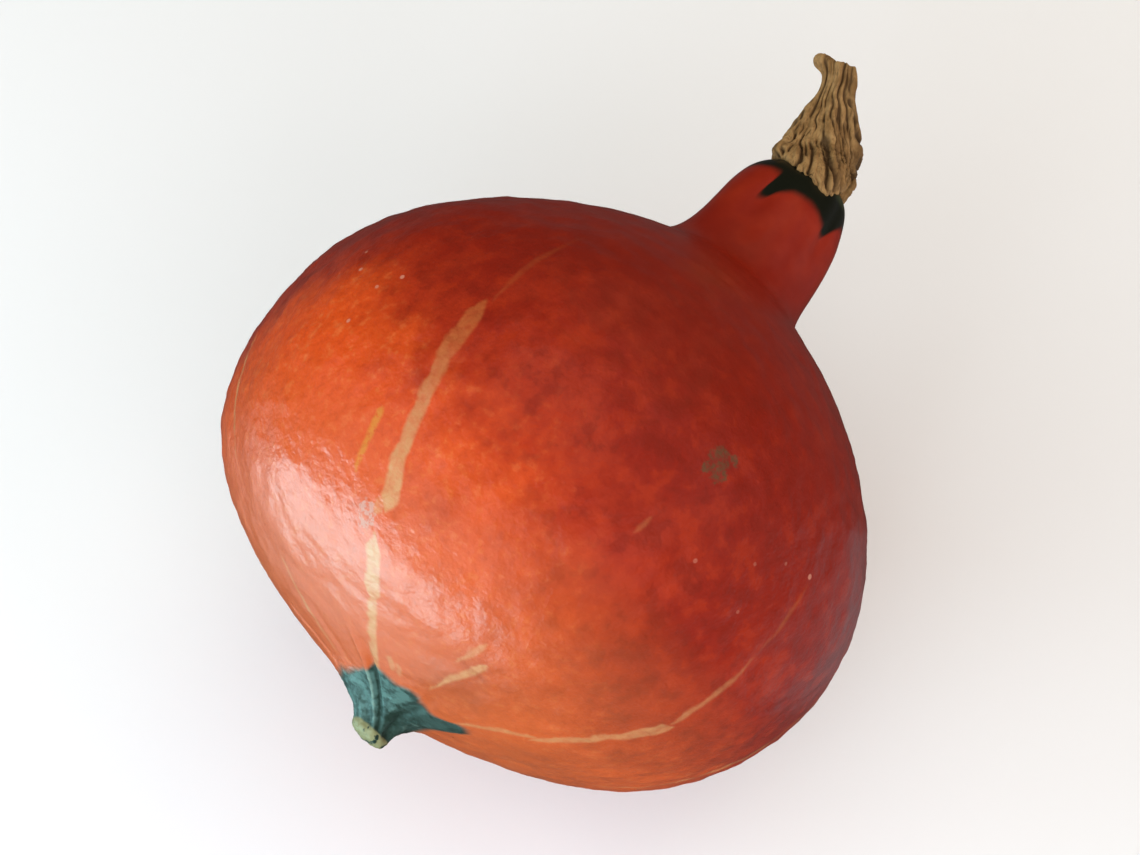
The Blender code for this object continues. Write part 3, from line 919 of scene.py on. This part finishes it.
def table_material():
    material, sheet, shader = new_material("table_white")
    texture = sheet.node("ShaderNodeTexCoord")
    shade = sheet.cloud(texture.outputs["Object"], 0.35, 2.0)
    colour = sheet.mix(shade, TABLE_SHADE, TABLE_WHITE)
    glossy = sheet.node("ShaderNodeLightPath").outputs["Is Glossy Ray"]
    colour = sheet.mix(sheet.maths("MULTIPLY", glossy, 1.0 - TABLE_IN_GLOSS), colour, BLACK)
    sheet.feed(shader.inputs["Base Color"], colour)
    away = sheet.vector("LENGTH", texture.outputs["Object"], output=1)
    sheet.feed(shader.inputs["Alpha"], sheet.step(away, TABLE_RADIUS, TABLE_FADE_START))
    shader.inputs["Roughness"].default_value = 0.7
    return material


def table_top():
    bpy.ops.object.select_all(action="DESELECT")
    bpy.ops.mesh.primitive_circle_add(vertices=96, radius=TABLE_RADIUS, fill_type="NGON")
    table = bpy.context.object
    table.name = "table"
    table.data.materials.append(table_material())


def soft_box(name, azimuth, elevation, distance, size, power, colour):
    """A large square light, aimed at the fruit from this direction. It shows in no gloss."""
    level = math.cos(elevation)
    way = Vector((math.cos(azimuth) * level, math.sin(azimuth) * level, math.sin(elevation)))
    box = area_light(name, size, size, power, colour)
    box.location = FRUIT_MIDDLE + way * distance
    box.rotation_quaternion = (-way).to_track_quat("-Z", "Y")
    box.visible_glossy = False


def bright_card(name, place, length, width, turn, power):
    """An oval of light that lies on the table, face up. It shows in the gloss of the fruit alone."""
    card = area_light(name, length, width, power, CARD_COLOUR, "ELLIPSE")
    card.location = place
    card.rotation_quaternion = Euler((math.pi, 0.0, math.radians(turn))).to_quaternion()
    card.visible_diffuse = False


def area_light(name, length, width, power, colour, shape="RECTANGLE"):
    lamp = bpy.data.lights.new(name, "AREA")
    lamp.shape = shape
    lamp.size = length
    lamp.size_y = width
    lamp.energy = power
    lamp.color = colour
    light = bpy.data.objects.new(name, lamp)
    light.rotation_mode = "QUATERNION"
    light.visible_camera = False
    bpy.context.scene.collection.objects.link(light)
    return light


FRUIT_MIDDLE = Vector((0.0, 0.0, 0.09))

# Large soft lights: azimuth and elevation in degrees, distance and size in metres,
# power in watts, and colour
SOFT_BOXES = (
    ("window", 177, 22, 1.5, 1.2, 21.0, (0.78, 0.96, 1.1)),
    ("window_behind", 125, 30, 1.5, 1.0, 8.0, (0.76, 0.97, 1.14)),
    ("window_in_front", 235, 30, 1.5, 1.0, 10.0, (0.94, 0.97, 1.05)),
    ("ceiling", 0, 89, 1.6, 1.4, 6.5, (0.94, 0.97, 1.02)),
    ("right_wall", 0, 35, 1.5, 1.0, 3.6, (1.1, 0.84, 0.5)),
    ("front_wall", 290, 30, 1.5, 1.0, 4.2, (1.12, 0.95, 1.06)),
)

# Ovals of light on the table, for the gloss: place, length and width in metres,
# turn in degrees, and power in watts
BRIGHT_CARDS = (
    ("bright_table", (-0.66, 0.28, 0.012), 1.0, 0.6, 158.0, 9.5),
    ("bright_table_rim", (-0.69, 0.29, 0.006), 1.25, 0.85, 158.0, 1.9),
    ("bright_table_right", (0.16, -0.48, 0.006), 0.8, 0.34, 106.0, 0.15),
)
CARD_COLOUR = (0.5, 0.98, 1.08)

# Colours of the room's light and of what the camera sees of it, and its strength in
# the light and in the gloss
ROOM_WARM = (1.0, 0.86, 0.66, 1.0)
ROOM_PALE = (0.94, 0.94, 0.93, 1.0)
ROOM_LIGHT = 0.36
ROOM_IN_GLOSS = 0.03


def room_world():
    """A pale room that gives weak warm light, hardly shows in gloss, and looks pale to the camera."""
    world = bpy.data.worlds.new("room")
    bpy.context.scene.world = world
    world.use_nodes = True
    sheet = Sheet(world.node_tree)
    room = world.node_tree.nodes["Background"]
    rays = sheet.node("ShaderNodeLightPath").outputs
    sheet.feed(room.inputs["Color"], sheet.mix(rays["Is Camera Ray"], ROOM_WARM, ROOM_PALE))
    strength = sheet.maths("MULTIPLY_ADD", rays["Is Glossy Ray"], ROOM_IN_GLOSS - ROOM_LIGHT, ROOM_LIGHT)
    strength = sheet.maths("MULTIPLY_ADD", rays["Is Camera Ray"], 1.0 - ROOM_LIGHT, strength)
    sheet.feed(room.inputs["Strength"], strength)


def studio_light():
    for name, azimuth, elevation, distance, size, power, colour in SOFT_BOXES:
        soft_box(name, math.radians(azimuth), math.radians(elevation), distance, size, power, colour)
    for card in BRIGHT_CARDS:
        bright_card(*card)
    room_world()


def photograph_camera():
    level = math.cos(CAMERA_ELEVATION)
    sideways, towards = math.sin(CAMERA_AZIMUTH), -math.cos(CAMERA_AZIMUTH)
    back = Vector((sideways * level, towards * level, math.sin(CAMERA_ELEVATION)))
    right = Vector((0.0, 0.0, 1.0)).cross(back).normalized()
    up = back.cross(right)
    turn = Matrix((right, up, back)).transposed() @ Matrix.Rotation(CAMERA_ROLL, 3, "Z")
    lens = bpy.data.cameras.new("photograph")
    lens.lens = CAMERA_FOCAL
    lens.clip_start = 0.01
    camera = bpy.data.objects.new("photograph", lens)
    camera.matrix_world = Matrix.Translation(CAMERA_AIM + back * CAMERA_DISTANCE) @ turn.to_4x4()
    bpy.context.scene.collection.objects.link(camera)
    bpy.context.scene.camera = camera


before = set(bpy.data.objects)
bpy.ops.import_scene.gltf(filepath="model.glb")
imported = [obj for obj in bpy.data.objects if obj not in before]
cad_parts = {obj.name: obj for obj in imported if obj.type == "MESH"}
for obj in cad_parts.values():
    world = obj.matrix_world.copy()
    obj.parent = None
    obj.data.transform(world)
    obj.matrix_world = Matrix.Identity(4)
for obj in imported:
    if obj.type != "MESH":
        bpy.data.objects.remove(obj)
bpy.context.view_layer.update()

rind = rind_piece()
rind.data.materials.append(rind_material())
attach(rind, "root")
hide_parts("fruit")

stem = stem_piece(rind)
stem.data.materials.append(cork_material())
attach(stem, "root")
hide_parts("stem")

table_top()
studio_light()
photograph_camera()
bpy.context.scene.view_settings.view_transform = "Standard"
